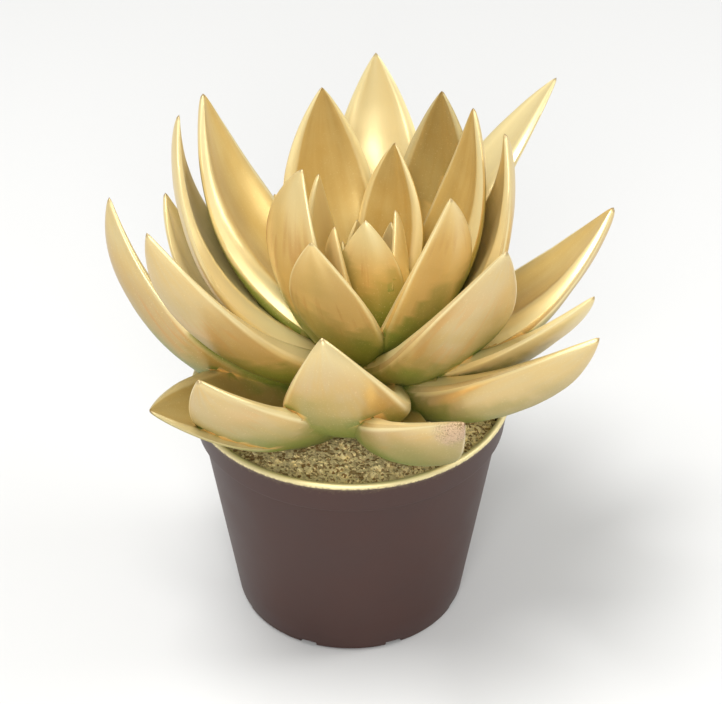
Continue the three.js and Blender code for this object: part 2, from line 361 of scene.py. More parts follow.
def grown_by(tree, source, name, **values):
    """The plain mesh that a tree makes from a source mesh."""
    carrier = placed(source, name + "_source")
    modifier = carrier.modifiers.new(name, "NODES")
    modifier.node_group = tree
    for item in tree.interface.items_tree:
        key = item.name.replace(" ", "_").lower()
        if item.in_out == "INPUT" and key in values:
            modifier[item.identifier] = values[key]
    view = bpy.context.evaluated_depsgraph_get()
    mesh = bpy.data.meshes.new_from_object(
        carrier.evaluated_get(view), preserve_all_data_layers=True, depsgraph=view
    )
    mesh.name = name
    bpy.data.objects.remove(carrier)
    return mesh


def placed(data, name):
    """A new object in the scene, made of a mesh, a light or a camera."""
    made = bpy.data.objects.new(name, data)
    bpy.context.scene.collection.objects.link(made)
    return made


def leaf_facts(number):
    """One leaf's size and pose by the rule, with its own habit added, in metres and radians."""
    growth = number / OLDEST
    age = max(0, growth)
    plump = min(1, growth / RIPE_AGE)
    ripe = math.sin(math.pi / 2 * plump)
    fading = FADING_LOSS * max(0, age - FADING_AGE)
    own = dict.fromkeys(("turn", "length", "width", "swell", "lean", "curl", "sway", "roll"), 0)
    own.update(HABIT.get(number, {}))
    length = mixed(HEART_LENGTH, GROWN_LENGTH, ripe) - fading + own["length"]
    width = mixed(HEART_WIDTH, GROWN_WIDTH, ripe) + own["width"]
    thickness = mixed(HEART_THICKNESS, GROWN_THICKNESS, plump) + own["swell"]
    foot_tilt = HEART_FOOT_TILT + SPREAD_FOOT_TILT * age**FOOT_TILT_EASE + own["lean"]
    tip_tilt = HEART_TIP_TILT + SPREAD_TIP_TILT * age**TIP_TILT_EASE + own["curl"]
    return dict(
        azimuth=math.radians(FIRST_AZIMUTH - GOLDEN_TURN * number + own["turn"]),
        length=length * MM,
        width=width * MM,
        thickness=thickness * MM,
        foot_tilt=math.radians(foot_tilt),
        tip_tilt=math.radians(tip_tilt),
        foot_radius=(HEART_FOOT_RADIUS + SPREAD_FOOT_RADIUS * age) * MM,
        foot_height=(FOOT_TOP_Z - FOOT_DROP * age**FOOT_DROP_EASE) * MM,
        sway=math.radians(own["sway"]),
        roll=math.radians(own["roll"]),
        leaf=number,
        coat_and_light=COAT_AND_PAINTED_LIGHT.get(number, 0),
    )


def leaf_point(number):
    """A mesh of one point, which carries a leaf's facts as attributes."""
    mesh = bpy.data.meshes.new("leaf_point")
    mesh.from_pydata([(0, 0, 0)], [], [])
    for name, value in leaf_facts(number).items():
        mesh.attributes.new(name, "FLOAT", "POINT").data[0].value = value
    return mesh


def named(tree, name):
    """The number that each point carries under a name."""
    made = node(tree, "GeometryNodeInputNamedAttribute", dict(data_type="FLOAT"), Name=name)
    return Wire(tree, made.outputs["Attribute"])


def kept(tree, geometry, name, value):
    """The geometry with a number stored on its points under a name."""
    settings = dict(data_type="FLOAT", domain="POINT")
    made = node(tree, "GeometryNodeStoreNamedAttribute", settings, Geometry=geometry, Name=name)
    feed(made.inputs["Value"], value)
    return Wire(tree, made.outputs["Geometry"])


def blade_half_width(share):
    """Half the blade's width at a share of its length, as a share of the leaf's half width."""
    rise = ((share / BELLY).clamp(0, 1) * (math.pi / 2)).math("SINE") ** FOOT_ROUNDING
    past = ((share - BELLY) / (1 - BELLY)).clamp(0, 1)
    fall = (past * (math.pi / 2)).math("COSINE").math("MAXIMUM", 0) ** TIP_ROUNDING
    return (FOOT_WIDTH + rise * (1 - FOOT_WIDTH)) * fall


def blade_thickness(share):
    """The blade's thickness there, as a share of the leaf's."""
    swell = ((share / THICKEST).math("MINIMUM", 2) * (math.pi / 2)).math("SINE")
    return (FOOT_THICKNESS + swell * (1 - FOOT_THICKNESS)) * (1 - share).math("SQRT")


def blade_skin(half, thickness, u, on_face):
    """How far the skin stands out of the blade's middle plane, on its face and on its back."""
    aside = u.math("ABSOLUTE")
    slope = ((aside - RIDGE) / (1 - RIDGE)).math("MAXIMUM", 0) ** SLOPE_ROUNDING
    hollow = half * (1 - (aside / RIDGE) ** 2).math("MAXIMUM", 0)
    face = thickness * (1 - slope) * FACE_CROWN - hollow * FACE_HOLLOW
    inside = (1 - u * u).math("MAXIMUM", 0)
    crown = inside ** (MARGIN_ROUNDING / 2)
    keel = (1 - aside ** KEEL_ROUNDING) * KEEL
    back = -(thickness * (crown * BACK_CROWN + keel)) - half * inside * BACK_HOLLOW
    return back + (face - back) * on_face


def turned_about(tree, vector, axis, angle):
    """The vector turned round an axis."""
    settings = dict(rotation_type="AXIS_ANGLE")
    made = node(tree, "ShaderNodeVectorRotate", settings, Vector=vector, Axis=axis, Angle=angle)
    return Wire(tree, made.outputs[0])


def spray_directions():
    """Directions towards the spray can, spread over a dome by golden turns."""
    for step in range(SPRAY_DIRECTIONS):
        share = (step + 0.5) / SPRAY_DIRECTIONS
        height = math.radians(mixed(SPRAY_LOWEST, SPRAY_HIGHEST, share))
        around = math.radians(GOLDEN_TURN * step)
        level = math.cos(height)
        yield (level * math.cos(around), level * math.sin(around), math.sin(height))


def spray_reach(tree, geometry):
    """The share of the spray that reaches each point, which other leaves may cover."""
    position, normal = field(tree, "Position"), field(tree, "Normal")
    lift = vector_node(tree, "SCALE", normal, SPRAY_START * MM)
    start = vector_node(tree, "ADD", position, lift)
    reach = None
    for direction in spray_directions():
        ray = node(tree, "GeometryNodeRaycast", dict(data_type="FLOAT"))
        feed(ray.inputs["Target Geometry"], geometry)
        feed(ray.inputs["Source Position"], start)
        feed(ray.inputs["Ray Direction"], direction)
        feed(ray.inputs["Ray Length"], SPRAY_LENGTH * MM)
        facing = vector_node(tree, "DOT_PRODUCT", normal, direction, output="Value")
        got = (1 - Wire(tree, ray.outputs["Is Hit"])) * facing.math("MAXIMUM", 0)
        reach = got if reach is None else reach + got
    return reach * (SPRAY_STRENGTH / SPRAY_DIRECTIONS)


def blade_tree():
    """Grows a closed blade on each leaf point, from the facts that the point carries."""
    tree, given = modifier_tree(
        "grow_blades",
        {
            "Rows along": "Int",
            "Points round": "Int",
            "Ripple": "Float",
            "Ripple size": "Float",
            "Stem foot": "Vector",
            "Skin": "Material",
        },
    )
    rows, around = given["Rows along"], given["Points round"]
    sheet = node(
        tree, "GeometryNodeMeshGrid", Size_X=1, Size_Y=1, Vertices_X=rows, Vertices_Y=around
    )
    flat_x, flat_y, _ = separated(tree, field(tree, "Position"))
    row = (flat_x + 0.5) * (rows - 1)
    linear = ((row - 1) / (rows - 2)).clamp(0, 1)
    grid = Wire(tree, sheet.outputs["Mesh"])
    grid = kept(tree, grid, "open", row.clamp(0, 1))
    grid = kept(tree, grid, "share", 1 - (1 - linear) ** TIP_CROWDING)
    even = (flat_y + 0.5) * (2 * math.pi)
    grid = kept(tree, grid, "turn", even - (even * 2).math("SINE") * (MARGIN_CROWDING / 2))
    many = node(tree, "GeometryNodeInstanceOnPoints", Points=given["Geometry"], Instance=grid)
    blades = realized(tree, Wire(tree, many.outputs[0]))

    share, turn, opened = named(tree, "share"), named(tree, "turn"), named(tree, "open")
    length, foot, tip = named(tree, "length"), named(tree, "foot_tilt"), named(tree, "tip_tilt")
    sway, roll = named(tree, "sway"), named(tree, "roll")
    bend = tip - foot
    tilt = foot + bend * share
    reach_out = length * (foot.math("COSINE") - tilt.math("COSINE")) / bend
    reach_up = length * (tilt.math("SINE") - foot.math("SINE")) / bend
    middle = vector_of(
        tree,
        named(tree, "foot_radius") + reach_out,
        sway * length * share * share / 2,
        named(tree, "foot_height") + reach_up,
    )
    along = vector_of(tree, tilt.math("SINE"), sway * share, tilt.math("COSINE"))
    along = vector_node(tree, "NORMALIZE", along)
    face = vector_of(tree, -tilt.math("COSINE"), 0, tilt.math("SINE"))
    across = vector_node(tree, "NORMALIZE", vector_node(tree, "CROSS_PRODUCT", along, face))
    out = vector_node(tree, "CROSS_PRODUCT", across, along)
    across = turned_about(tree, across, along, -roll)
    out = turned_about(tree, out, along, -roll)

    u = turn.math("COSINE")
    on_face = turn.math("SINE").math("GREATER_THAN", 0)
    half = named(tree, "width") / 2 * blade_half_width(share)
    thickness = named(tree, "thickness") * blade_thickness(share)
    skin = blade_skin(half, thickness, u, on_face)
    spread = vector_node(tree, "SCALE", across, half * u * opened)
    raised = vector_node(tree, "SCALE", out, skin * opened)
    point = vector_node(tree, "ADD", vector_node(tree, "ADD", middle, spread), raised)
    point = turned_about(tree, point, (0, 0, 1), named(tree, "azimuth"))
    point = vector_node(tree, "ADD", point, given["Stem foot"])
    shaped = moved(tree, blades, Position=point)
    closed = node(tree, "GeometryNodeMergeByDistance", Geometry=shaped, Distance=SAME_POINT * MM)
    per_metre, leaf = 1 / given["Ripple size"], named(tree, "leaf")
    waves = noise(tree, field(tree, "Position"), W=leaf, Scale=per_metre, Detail=1)
    swell = (waves - 0.5) * given["Ripple"]
    move = vector_node(tree, "SCALE", field(tree, "Normal"), swell)
    body = moved(tree, Wire(tree, closed.outputs[0]), Offset=move)
    body = kept(tree, body, "across", named(tree, "turn").math("COSINE"))
    body = kept(tree, body, "face", named(tree, "turn").math("SINE").math("GREATER_THAN", 0))
    tree_result(tree, body, given["Skin"])
    return tree


def spray_tree():
    """Keeps how far the spray reaches each point, and makes all smooth but the creases."""
    tree, given = modifier_tree("spray_gold", {"Crease angle": "Float", "Skin": "Material"})
    body = kept(tree, given["Geometry"], "reach", spray_reach(tree, given["Geometry"]))
    smooth = node(tree, "GeometryNodeSetShadeSmooth", dict(domain="FACE"), Geometry=body)
    angle = Wire(tree, node(tree, "GeometryNodeInputMeshEdgeAngle").outputs["Unsigned Angle"])
    creased = node(tree, "GeometryNodeSetShadeSmooth", dict(domain="EDGE"), Shade_Smooth=False)
    feed(creased.inputs["Geometry"], Wire(tree, smooth.outputs[0]))
    feed(creased.inputs["Selection"], angle.math("GREATER_THAN", given["Crease angle"]))
    tree_result(tree, Wire(tree, creased.outputs[0]), given["Skin"])
    return tree


def joined(mesh, other, operation):
    """The mesh with another one joined to it, or cut out of it."""
    carrier, tool = placed(mesh, "carrier"), placed(other, "tool")
    modifier = carrier.modifiers.new("join", "BOOLEAN")
    modifier.operation = operation
    modifier.solver = "MANIFOLD"
    modifier.object = tool
    view = bpy.context.evaluated_depsgraph_get()
    result = bpy.data.meshes.new_from_object(
        carrier.evaluated_get(view), preserve_all_data_layers=True, depsgraph=view
    )
    bpy.data.objects.remove(carrier)
    bpy.data.objects.remove(tool)
    return result


def turned(profile, segments, name, centre=(0, 0)):
    """A closed mesh turned round an upright axis from (radius, z) points in millimetres."""
    points, rings = [], []
    for radius, z in profile:
        if radius == 0:
            rings.append([len(points)] * segments)
            points.append((centre[0] * MM, centre[1] * MM, z * MM))
            continue
        rings.append([len(points) + i for i in range(segments)])
        for i in range(segments):
            angle = 2 * math.pi * i / segments
            x = centre[0] + radius * math.cos(angle)
            y = centre[1] + radius * math.sin(angle)
            points.append((x * MM, y * MM, z * MM))
    faces = []
    for low, high in zip(rings, rings[1:]):
        for i in range(segments):
            after = (i + 1) % segments
            loop = (low[i], low[after], high[after], high[i])
            faces.append(tuple(dict.fromkeys(loop)))
    mesh = bpy.data.meshes.new(name)
    mesh.from_pydata(points, [], faces)
    mesh.shade_smooth()
    return mesh


def outer_radius(z):
    """The radius of the pot's tapering wall at a height, outside."""
    top = RIM_RADIUS - RIM_BAND_STEP
    return BASE_RADIUS + (top - BASE_RADIUS) * z / POT_HEIGHT


def arc(centre_radius, centre_z, radius, start, end, steps=6):
    """Points of a round corner in a profile, from one angle to another in degrees."""
    for step in range(steps + 1):
        angle = math.radians(mixed(start, end, step / steps))
        yield (centre_radius + radius * math.cos(angle), centre_z + radius * math.sin(angle))


def pot_profile():
    """The pot's section, from the middle of its underside round its lip to its floor.

    The small offsets are the rounded and sloping edges of a moulded pot.
    """
    band_foot = POT_HEIGHT - RIM_BAND_HEIGHT
    band = outer_radius(band_foot) + RIM_BAND_STEP
    floor_top = FOOT_HEIGHT + FLOOR
    ring = BASE_RADIUS - FOOT_RING_WIDTH
    lip = RIM_LIP / 2
    steps = [i / WALL_STEPS for i in range(WALL_STEPS + 1)]
    wall = [mixed(BASE_CORNER + 1, band_foot - 2, step) for step in steps]
    inner = [mixed(band_foot - 2, floor_top + 1.5, step) for step in steps]
    fillet_radius = outer_radius(band_foot - 1) + BAND_FILLET
    return [
        (0, 0),
        (FOOT_DISC_RADIUS - FOOT_EDGE, 0),
        (FOOT_DISC_RADIUS, FOOT_EDGE),
        (FOOT_DISC_RADIUS + DRAFT, FOOT_HEIGHT),
        (ring - DRAFT, FOOT_HEIGHT),
        (ring - 0.1, FOOT_EDGE),
        (ring + 0.2, 0),
        *arc(BASE_RADIUS - BASE_CORNER, BASE_CORNER, BASE_CORNER, -90, 0),
        *((outer_radius(z), z) for z in wall),
        *arc(fillet_radius, band_foot - BAND_FILLET, BAND_FILLET, 180, 120, 3),
        (band - BAND_EDGE, band_foot - 0.1),
        *arc(band - BAND_EDGE, band_foot + 0.4, BAND_EDGE, -90, 0, 3),
        (RIM_RADIUS - 0.6, POT_HEIGHT - RIM_LIP - 0.5),
        (RIM_RADIUS - 0.5, POT_HEIGHT - RIM_LIP),
        *arc(RIM_RADIUS - lip, POT_HEIGHT - lip, lip, -20, 200, 12),
        (band - WALL - 0.1, band_foot + 1.5),
        (outer_radius(band_foot) - WALL + 0.4, band_foot + 0.2),
        *((outer_radius(z) - WALL, z) for z in inner),
        (outer_radius(floor_top) - WALL - 0.6, floor_top + 0.2),
        (outer_radius(floor_top) - WALL - 2, floor_top),
        (0, floor_top),
    ]


def drainage_cutters():
    """The eight holes through the floor and the eight channels across the foot ring."""
    points, faces = [], []

    def add(loop, low, high):
        first = len(points)
        count = len(loop)
        points.extend((x * MM, y * MM, low * MM) for x, y in loop)
        points.extend((x * MM, y * MM, high * MM) for x, y in loop)
        faces.append([first + i for i in reversed(range(count))])
        faces.append([first + count + i for i in range(count)])
        for i in range(count):
            after = (i + 1) % count
            faces.append([first + i, first + after, first + count + after, first + count + i])

    for hole in range(DRAIN_HOLES):
        angle = 2 * math.pi * (hole + 0.5) / DRAIN_HOLES
        cos, sin = math.cos(angle), math.sin(angle)
        x, y = DRAIN_CIRCLE_RADIUS * cos, DRAIN_CIRCLE_RADIUS * sin
        turns = [2 * math.pi * i / DRAIN_SEGMENTS for i in range(DRAIN_SEGMENTS)]
        ring = [
            (x + DRAIN_HOLE_RADIUS * math.cos(t), y + DRAIN_HOLE_RADIUS * math.sin(t))
            for t in turns
        ]
        add(ring, -FLOOR, FOOT_HEIGHT + 2 * FLOOR)
        near = BASE_RADIUS - FOOT_RING_WIDTH / 2 - CHANNEL_LENGTH / 2
        far = near + CHANNEL_LENGTH
        side = CHANNEL_WIDTH / 2
        corners = [(near, -side), (far, -side), (far, side), (near, side)]
        add([(r * cos - s * sin, r * sin + s * cos) for r, s in corners], -FLOOR, FOOT_HEIGHT)
    mesh = bpy.data.meshes.new("drainage")
    mesh.from_pydata(points, [], faces)
    return mesh


def stem_profile(margin):
    """The stem's section with a margin round it, from its root up."""
    soil_level = POT_HEIGHT - SOIL_BELOW_RIM
    root = STEM_ROOT_Z - margin
    top = STEM_TOP_Z
    return [
        (0, root),
        (0.6 * STEM_RADIUS + margin, root),
        (0.9 * STEM_RADIUS + margin, root + STEM_TAPER),
        (STEM_RADIUS + margin, soil_level),
        (STEM_RADIUS + margin, POT_HEIGHT),
        (0.6 * STEM_RADIUS + margin, top - STEM_TAPER),
        (0.3 * STEM_RADIUS + margin, top),
        (0, top),
    ]


def soil_profile():
    """The plug's section, with many rings on its top for the lumps."""
    floor = FOOT_HEIGHT + FLOOR + SEAT_GAP
    level = POT_HEIGHT - SOIL_BELOW_RIM
    edge = outer_radius(level) - WALL - SEAT_GAP
    top = [(edge * (1 - i / SOIL_RINGS), level) for i in range(1, SOIL_RINGS)]
    return [
        (0, floor),
        (outer_radius(floor) - WALL - SEAT_GAP - 2.2, floor),
        (outer_radius(floor + 2) - WALL - SEAT_GAP - 0.2, floor + 2),
        (edge - 0.1, level - 1.5),
        (edge, level - 0.8),
        *top,
        (0, level),
    ]


def rough_soil_tree():
    """Roughens the plug's top and scatters crumbs of peat and grit over it."""
    tree, given = modifier_tree(
        "rough_soil",
        {
            "Roughness": "Float",
            "Mound": "Float",
            "Top": "Float",
            "Crumb density": "Float",
            "Smallest": "Float",
            "Largest": "Float",
            "Seed": "Int",
            "Soil": "Material",
        },
    )
    place = field(tree, "Position")
    x, y, z = separated(tree, place)
    on_top = z.math("GREATER_THAN", given["Top"] - LIFTED_DEPTH * MM)
    lumps = noise(tree, place, Scale=SOIL_LUMPS_PER_METRE, Detail=4, Roughness=0.62)
    radius = (x * x + y * y).math("SQRT") / (RIM_RADIUS * MM)
    rise = (lumps - 0.5) * given["Roughness"] * 2
    rise = rise + (1 - radius.clamp(0, 1)) * given["Mound"]
    lift = vector_of(tree, 0, 0, rise)
    ground = moved(tree, given["Geometry"], Selection=on_top, Offset=lift)

    scatter = node(tree, "GeometryNodeDistributePointsOnFaces", dict(distribute_method="RANDOM"))
    feed(scatter.inputs["Mesh"], ground)
    crumbed = z.math("GREATER_THAN", given["Top"] - CRUMBED_DEPTH * MM)
    feed(scatter.inputs["Selection"], crumbed)
    feed(scatter.inputs["Density"], given["Crumb density"])
    feed(scatter.inputs["Seed"], given["Seed"])
    shapes = node(tree, "GeometryNodeGeometryToInstance")
    for shape in range(CRUMB_SHAPES):
        ball = node(tree, "GeometryNodeMeshIcoSphere", Radius=1, Subdivisions=2)
        dents = noise(tree, place, Scale=CRUMB_DENTS, W=shape * CRUMB_VARIETY)
        grain = vector_node(tree, "SCALE", place, (dents - 0.5) * CRUMB_DENT_DEPTH)
        squash = vector_node(tree, "MULTIPLY", grain, CRUMB_SQUASH)
        dented = moved(tree, Wire(tree, ball.outputs["Mesh"]), Offset=squash)
        feed(shapes.inputs[0], dented)
    size = node(tree, "FunctionNodeRandomValue", dict(data_type="FLOAT"))
    feed(size.inputs["Seed"], given["Seed"] + 1)
    spread = Wire(tree, size.outputs["Value"])
    scale = mixed(given["Smallest"], given["Largest"], spread**3)
    turn = node(tree, "FunctionNodeRandomValue", dict(data_type="FLOAT_VECTOR"))
    feed(turn.inputs["Max"], (CRUMB_TURN_IN_RADIANS,) * 3)
    feed(turn.inputs["Seed"], given["Seed"] + 2)
    crumbs = node(tree, "GeometryNodeInstanceOnPoints", Pick_Instance=True, Scale=scale)
    feed(crumbs.inputs["Points"], Wire(tree, scatter.outputs["Points"]))
    feed(crumbs.inputs["Instance"], Wire(tree, shapes.outputs[0]))
    feed(crumbs.inputs["Rotation"], Wire(tree, turn.outputs["Value"]))
    grit = kept(tree, realized(tree, Wire(tree, crumbs.outputs[0])), "grit", 1)
    both = node(tree, "GeometryNodeJoinGeometry")
    feed(both.inputs[0], grit)
    feed(both.inputs[0], ground)
    tree_result(tree, Wire(tree, both.outputs[0]), given["Soil"])
    return tree


def finish_tree(name, **shader):
    """A new material's tree, its shader node and its own numbers set on the shader."""
    made = bpy.data.materials.new(name)
    made.use_nodes = True
    tree = made.node_tree
    skin = tree.nodes["Principled BSDF"]
    for label, value in shader.items():
        skin.inputs[label.replace("_", " ")].default_value = value
    return made, tree, skin


def colour_mix(tree, share, start, end):
    """The colour at a share of the way from start to end."""
    made = node(tree, "ShaderNodeMix", dict(data_type="RGBA"))
    feed(made.inputs["Factor"], share)
    for socket, value in ((made.inputs[6], start), (made.inputs[7], end)):
        feed(socket, value if isinstance(value, Wire) else (*value, 1))
    return Wire(tree, made.outputs[2])


def stepped(tree, value, low, high):
    """0 below low and 1 above high, and smooth between them."""
    made = node(tree, "ShaderNodeMapRange", dict(interpolation_type="SMOOTHSTEP"))
    feed(made.inputs["Value"], value)
    feed(made.inputs["From Min"], low)
    feed(made.inputs["From Max"], high)
    return Wire(tree, made.outputs[0])


def fact(tree, name):
    """A number that the mesh carries for each point, in a material."""
    made = tree.nodes.new("ShaderNodeAttribute")
    made.attribute_name = name
    return Wire(tree, made.outputs["Fac"])


def object_place(tree):
    return Wire(tree, tree.nodes.new("ShaderNodeTexCoord").outputs["Object"])


def surface_direction(tree, name):
    """The x, y and z of the surface's normal, smoothed or true."""
    geometry = tree.nodes.new("ShaderNodeNewGeometry")
    return separated(tree, Wire(tree, geometry.outputs[name]))


def bumped(tree, skin, height, strength, distance):
    """Roughens a shader's surface by a height."""
    made = node(tree, "ShaderNodeBump", Height=height, Strength=strength, Distance=distance)
    feed(skin.inputs["Normal"], Wire(tree, made.outputs[0]))


PALE_GOLD = (0.90, 0.77, 0.41)
MID_GOLD = (0.72, 0.525, 0.185)
WARM_GOLD = (0.66, 0.44, 0.125)
BACK_GOLD = (0.62, 0.40, 0.135)
ROSE_GOLD = (0.58, 0.43, 0.215)
LIT_BACK_GOLD = (0.88, 0.60, 0.20)
BLUSH_GOLD = (0.66, 0.34, 0.085)
LEAF_GREEN = (0.15, 0.20, 0.025)
OLIVE_GOLD = (0.36, 0.30, 0.07)
DULL_BROWN = (0.22, 0.165, 0.05)
LEAF_BROWN = (0.16, 0.075, 0.03)
HUSK_PINK = (0.62, 0.41, 0.26)
DARK_PEAT = (0.022, 0.014, 0.009)
BROWN_PEAT = (0.075, 0.045, 0.025)
DULL_GRIT = (0.34, 0.20, 0.06)
BRIGHT_GRIT = (1, 0.85, 0.44)
DARK_PLASTIC = (0.036, 0.010, 0.006)
RED_PLASTIC = (0.054, 0.015, 0.008)
WITHERED_LEAF = 28


def gold_leaf():
    """A satin gold spray over a green leaf, thin where little of the spray reached it."""
    made, tree, skin = finish_tree("gold_leaf")
    place = object_place(tree)
    share, across = fact(tree, "share"), fact(tree, "across")
    face, reach = fact(tree, "face"), fact(tree, "reach")
    leaf, coat_and_light = fact(tree, "leaf"), fact(tree, "coat_and_light")
    drifts = noise(tree, place, Scale=38, Detail=2, Roughness=0.5)
    clouds = noise(tree, place, Scale=130, Detail=3, Roughness=0.55)
    lengths = vector_of(tree, share * 2, across * 4, leaf * 1.7)
    strokes = noise(tree, lengths, Scale=1.6, Detail=2, Roughness=0.5)
    flakes = noise(tree, place, Scale=2400, Detail=1)
    aside = across.math("ABSOLUTE")
    on_face = stepped(tree, aside + (clouds - 0.5) * 0.06, RIDGE - 0.08, RIDGE + 0.02)
    margin = mixed(stepped(tree, aside, 0.9, 0.99), on_face, face)

    # The full spray: warmer inside than outside, and paler towards the tips. The brighter backs
    # of the inner leaves are painted light. The paling where the spray reached most is partly a
    # thicker layer and partly painted light, and the pale margins are a painted highlight.
    tone = stepped(tree, drifts * 0.45 + strokes * 0.3 + clouds * 0.25, 0.38, 0.62)
    inner = colour_mix(tree, tone, WARM_GOLD, MID_GOLD)
    outer = colour_mix(tree, tone, BACK_GOLD, ROSE_GOLD)
    # Painted light: the backs of the inner leaves are made brighter.
    outer = colour_mix(tree, stepped(tree, leaf, 20, 13) * 0.7, outer, LIT_BACK_GOLD)
    halfway = stepped(tree, share, 0.3, 0.45) * stepped(tree, share, 0.95, 0.65)
    blush = stepped(tree, drifts * 0.6 + strokes * 0.4, 0.5, 0.6) * halfway
    outer = colour_mix(tree, blush * 0.75, outer, BLUSH_GOLD)
    gold = colour_mix(tree, face, outer, inner)
    # Painted light in part: paler where the spray reached most, which is where a leaf lies open
    # to the light, and partly a thicker layer of paint.
    lit = stepped(tree, reach, 0.5, 1.3) * (0.4 - face * 0.3)
    lit = lit + stepped(tree, share, 0.6, 1) * 0.12
    heart_tip = stepped(tree, leaf, 6, 3) * stepped(tree, share, 0.55, 0.95)
    # Painted highlight: the margins are made pale. The paling of single leaves is partly painted
    # light.
    for paler in (coat_and_light * 0.85, margin * 0.85, heart_tip):
        lit = lit.math("MAXIMUM", paler)
    gold = colour_mix(tree, lit, gold, PALE_GOLD)
    # Painted shade in part: leaves given below 0 in the table of single leaves are dulled towards
    # brown, some because shade falls on them.
    gold = colour_mix(tree, (coat_and_light * -0.9).math("MAXIMUM", 0), gold, DULL_BROWN)

    # Where little of the spray arrived the coat is thin, and low on a leaf its green shows.
    patchy = reach + (clouds - 0.5) * 0.12 + (drifts - 0.5) * 0.3
    patchy = patchy + coat_and_light * 0.35 + face * 0.25
    thin = stepped(tree, patchy, 0.66, 0.2)
    gold = colour_mix(tree, thin * 0.75, gold, OLIVE_GOLD)
    young = stepped(tree, leaf, 14, 7)
    low = stepped(tree, share + (drifts - 0.5) * 0.4 + young * 0.2, 0.78, 0.46)
    bare = low * stepped(tree, patchy, 0.5, 0.12)
    colour = colour_mix(tree, bare * 0.92, gold, LEAF_GREEN)
    colour = colour_mix(tree, stepped(tree, share, 0.982, 0.996) * 0.5, colour, LEAF_BROWN)

    # One old leaf has a dry, crusted end.
    old = (leaf - WITHERED_LEAF).math("ABSOLUTE").math("LESS_THAN", 0.5)
    withered = old * stepped(tree, share + (clouds - 0.5) * 0.4, 0.86, 1) * 0.8
    crust = stepped(tree, flakes * 0.5 + clouds * 0.5, 0.42, 0.58)
    husk = colour_mix(tree, crust, LEAF_BROWN, HUSK_PINK)
    colour = colour_mix(tree, withered, colour, husk)

    shine = colour_mix(tree, stepped(tree, flakes, 0.62, 0.78) * 0.3, colour, PALE_GOLD)
    feed(skin.inputs["Base Color"], shine)
    feed(skin.inputs["Metallic"], 0.46 - bare * 0.38 - thin * 0.12 - withered * 0.3)
    feed(skin.inputs["Roughness"], 0.36 + (clouds - 0.5) * 0.12 + thin * 0.08)
    grain = clouds * 0.5 + flakes * (withered * 2 + 0.1) + strokes * 0.2
    bumped(tree, skin, grain, 0.22, 0.0006)
    return made


def peat_and_grit():
    """Dark peat with pale grit, gold where the spray fell on it."""
    made, tree, skin = finish_tree("peat_and_grit", Roughness=0.8)
    place = object_place(tree)
    grains = node(tree, "ShaderNodeTexVoronoi", Vector=place, Scale=1300)
    parts = node(tree, "ShaderNodeSeparateColor")
    feed(parts.inputs[0], Wire(tree, grains.outputs["Color"]))
    pick = Wire(tree, parts.outputs[0])
    grit = fact(tree, "grit")
    peat = colour_mix(tree, pick, DARK_PEAT, BROWN_PEAT)
    upward = surface_direction(tree, "Normal")[2]
    patches = noise(tree, place, Scale=420, Detail=4)
    sprayed = stepped(tree, upward * 0.5 + grit * 0.3 + (patches - 0.5) * 1.6, -0.2, 0.35)
    glint = stepped(tree, pick, 0, 0.65)
    gold = colour_mix(tree, glint, DULL_GRIT, BRIGHT_GRIT)
    feed(skin.inputs["Base Color"], colour_mix(tree, sprayed, peat, gold))
    feed(skin.inputs["Metallic"], sprayed * 0.3)
    fine = noise(tree, place, Scale=1800, Detail=3)
    bumped(tree, skin, fine, 0.6, 0.0006)
    return made


# Heights in metres between which the gold on the pot fades in: on its lip, inside its band
# and, as a thin drift, outside. A wall faces inwards where its normal points to the middle.
LIP_GILT_FOOT, LIP_GILT_TOP = 0.0684, 0.0693
BAND_GILT_FOOT, BAND_GILT_TOP = 0.0635, 0.068
DRIFT_FOOT, DRIFT_TOP = 0.0665, 0.075
FACING_INWARDS = -0.01


def pot_plastic():
    """Thin red-brown moulded plastic, with gold spray on its lip and inside its band."""
    made, tree, skin = finish_tree("pot_plastic")
    place = object_place(tree)
    x, y, height = separated(tree, place)
    clouds = noise(tree, place, Scale=60, Detail=4)
    mist = noise(tree, place, Scale=900, Detail=4, Roughness=0.75)
    plastic = colour_mix(tree, clouds, DARK_PLASTIC, RED_PLASTIC)
    lip = stepped(tree, height + (mist - 0.5) * 0.0016, LIP_GILT_FOOT, LIP_GILT_TOP)
    turned_x, turned_y, _ = surface_direction(tree, "True Normal")
    inside = (turned_x * x + turned_y * y).math("LESS_THAN", FACING_INWARDS)
    band = stepped(tree, height + (mist - 0.5) * 0.006, BAND_GILT_FOOT, BAND_GILT_TOP)
    drift = stepped(tree, height + (mist - 0.5) * 0.008, DRIFT_FOOT, DRIFT_TOP) * 0.35
    gilt = lip.math("MAXIMUM", inside * band).math("MAXIMUM", drift)
    feed(skin.inputs["Base Color"], colour_mix(tree, gilt, plastic, PALE_GOLD))
    feed(skin.inputs["Metallic"], gilt * 0.65)
    feed(skin.inputs["Roughness"], 0.4 + clouds * 0.14)
    bumped(tree, skin, clouds * 0.5 + mist * 0.06, 0.25, 0.0005)
    return made


